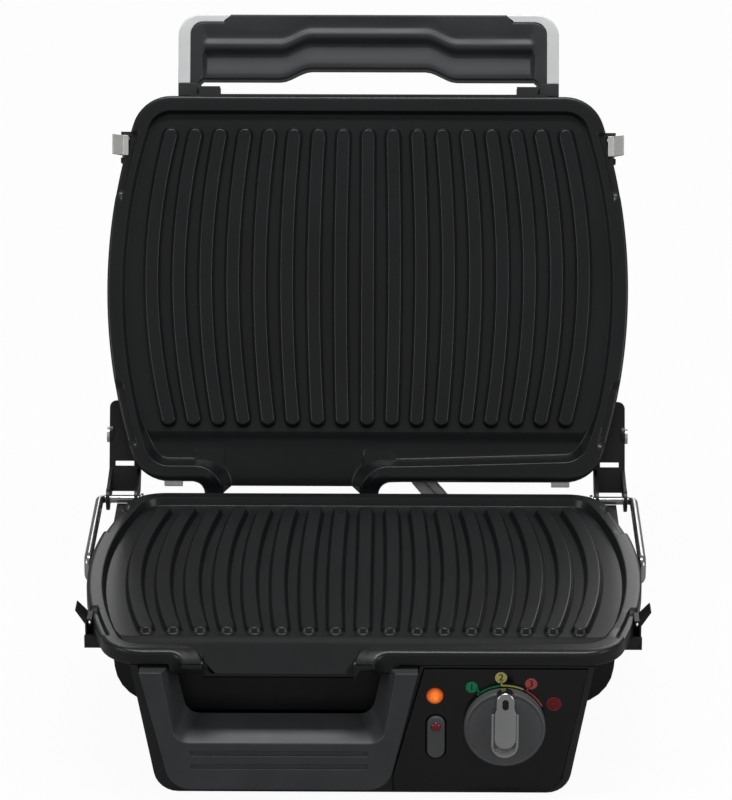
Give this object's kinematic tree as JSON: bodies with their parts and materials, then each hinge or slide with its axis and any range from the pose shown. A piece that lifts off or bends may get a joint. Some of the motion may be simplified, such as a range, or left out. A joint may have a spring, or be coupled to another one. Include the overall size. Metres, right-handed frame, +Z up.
{
  "type": "electric indoor grill",
  "caption": "Countertop contact grill standing open: two ribbed cast plates with grease spouts, a floating hinged lid with a handle, a pull-out drip tray and a thermostat dial.",
  "frame": {"origin": "on the worktop, under the middle of the part’s bounding box", "axes": "+X to the right seen from the front, +Y to the rear, +Z up; the controls and the tray face -Y"},
  "size_m": [0.3362, 0.4318, 0.3559],
  "materials": {
    "plate_coating": "cast, with a dark satin non-stick coating",
    "housing_plastic": "fine-grained moulded plastic",
    "gloss_fascia": "polished",
    "cover_plastic": "moulded",
    "tray_plastic": "moulded, slightly textured",
    "handle_plastic": "fine-grained moulded plastic",
    "silver_trim": "silver lacquer",
    "dial_plastic": "moulded",
    "dial_grip": "silver lacquer",
    "black_paint": "black powder coat",
    "wire_steel": "bright drawn wire",
    "bright_steel": "plain steel",
    "reflector": "mill finish",
    "inlay_metal": "brushed",
    "heating_tube": "annealed steel",
    "lamp_amber": "clear tinted",
    "lens_red": "clear tinted",
    "foot_rubber": "matt",
    "insulator": "moulded",
    "ceramic": "glazed",
    "braid": "woven sleeve"
  },
  "bodies": {
    "base": {"base_housing": "housing_plastic", "bottom_cover": "cover_plastic", "control_fascia": "gloss_fascia", "heat_shield_lower": "reflector", "element_lower": "heating_tube", "plate_lower": "plate_coating", "plate_hooks_lower": "bright_steel", "thermostat": "insulator", "switch_body": "cover_plastic", "lamp_lens": "lamp_amber", "terminal_block": "ceramic", "cord_gland": "foot_rubber", "feet_front": "foot_rubber", "feet_rear": "foot_rubber", "base_screws": "bright_steel", "clip_pins_lower": "bright_steel"},
    "tray": {"drip_tray": "tray_plastic"},
    "knob": {"dial": "dial_plastic", "dial_pointer": "dial_grip", "dial_shaft": "bright_steel"},
    "switch_rocker": {"rocker": "gloss_fascia", "rocker_lens": "lens_red"},
    "hinge_links": {"link_left": "wire_steel", "link_right": "wire_steel"},
    "arms": {"arm_left": "black_paint", "arm_right": "black_paint", "arm_pins": "bright_steel"},
    "lid": {"lid_shell": "housing_plastic", "lid_inlay": "inlay_metal", "heat_shield_upper": "reflector", "element_upper": "heating_tube", "plate_upper": "plate_coating", "plate_hooks_upper": "bright_steel", "lid_screws": "bright_steel", "handle": "handle_plastic", "handle_cover": "handle_plastic", "handle_trim_left": "silver_trim", "handle_trim_right": "silver_trim", "clip_pins_upper": "bright_steel"},
    "lower_clip_left": {"clip_lower_left": "bright_steel"},
    "lower_clip_right": {"clip_lower_right": "bright_steel"},
    "upper_clip_left": {"clip_upper_left": "bright_steel"},
    "upper_clip_right": {"clip_upper_right": "bright_steel"},
    "lead": {"element_lead": "braid"}
  },
  "joints": [
    {"name": "link_float", "type": "hinge", "parent": "base", "child": "hinge_links", "pos_m": [0, -0.04809, 0.0703], "axis": [1, 0, 0], "range_deg": [0, 8]},
    {"name": "arm_swing", "type": "hinge", "parent": "hinge_links", "child": "arms", "pos_m": [0, 0.04891, 0.0838], "axis": [-1, 0, 0], "range_deg": [-114, 66]},
    {"name": "lid_tilt", "type": "hinge", "parent": "arms", "child": "lid", "pos_m": [0, 0.09258, 0.11011], "axis": [1, 0, 0], "range_deg": [0, 6]},
    {"name": "lead_bend", "type": "hinge", "parent": "hinge_links", "child": "lead", "pos_m": [0, 0.04891, 0.0838], "axis": [-1, 0, 0], "range_deg": [-114, 66], "deforming": ["element_lead"]},
    {"name": "drip_tray_slide", "type": "slide", "parent": "base", "child": "tray", "axis": [0, -1, 0], "range_m": [0, 0.15]},
    {"name": "thermostat_turn", "type": "hinge", "parent": "base", "child": "knob", "pos_m": [0.0805, -0.20759, 0.0465], "axis": [0, 1, 0], "range_deg": [-150, 120]},
    {"name": "rocker_tilt", "type": "hinge", "parent": "base", "child": "switch_rocker", "pos_m": [0.0417, -0.19389, 0.0386], "axis": [1, 0, 0], "range_deg": [0, 6]},
    {"name": "lower_clip_left_tilt", "type": "hinge", "parent": "base", "child": "lower_clip_left", "pos_m": [-0.15793, -0.14959, 0.077], "axis": [0, -1, 0], "range_deg": [0, 14], "stiffness_Nm_per_rad": 0.02},
    {"name": "lower_clip_right_tilt", "type": "hinge", "parent": "base", "child": "lower_clip_right", "pos_m": [0.15793, -0.14959, 0.077], "axis": [0, 1, 0], "range_deg": [0, 14], "stiffness_Nm_per_rad": 0.02},
    {"name": "upper_clip_left_tilt", "type": "hinge", "parent": "lid", "child": "upper_clip_left", "pos_m": [-0.15311, 0.16151, 0.27722], "axis": [0, -0.4067, -0.9135], "range_deg": [0, 14], "stiffness_Nm_per_rad": 0.02},
    {"name": "upper_clip_right_tilt", "type": "hinge", "parent": "lid", "child": "upper_clip_right", "pos_m": [0.15311, 0.16151, 0.27722], "axis": [0, 0.4067, 0.9135], "range_deg": [0, 14], "stiffness_Nm_per_rad": 0.02}
  ]
}
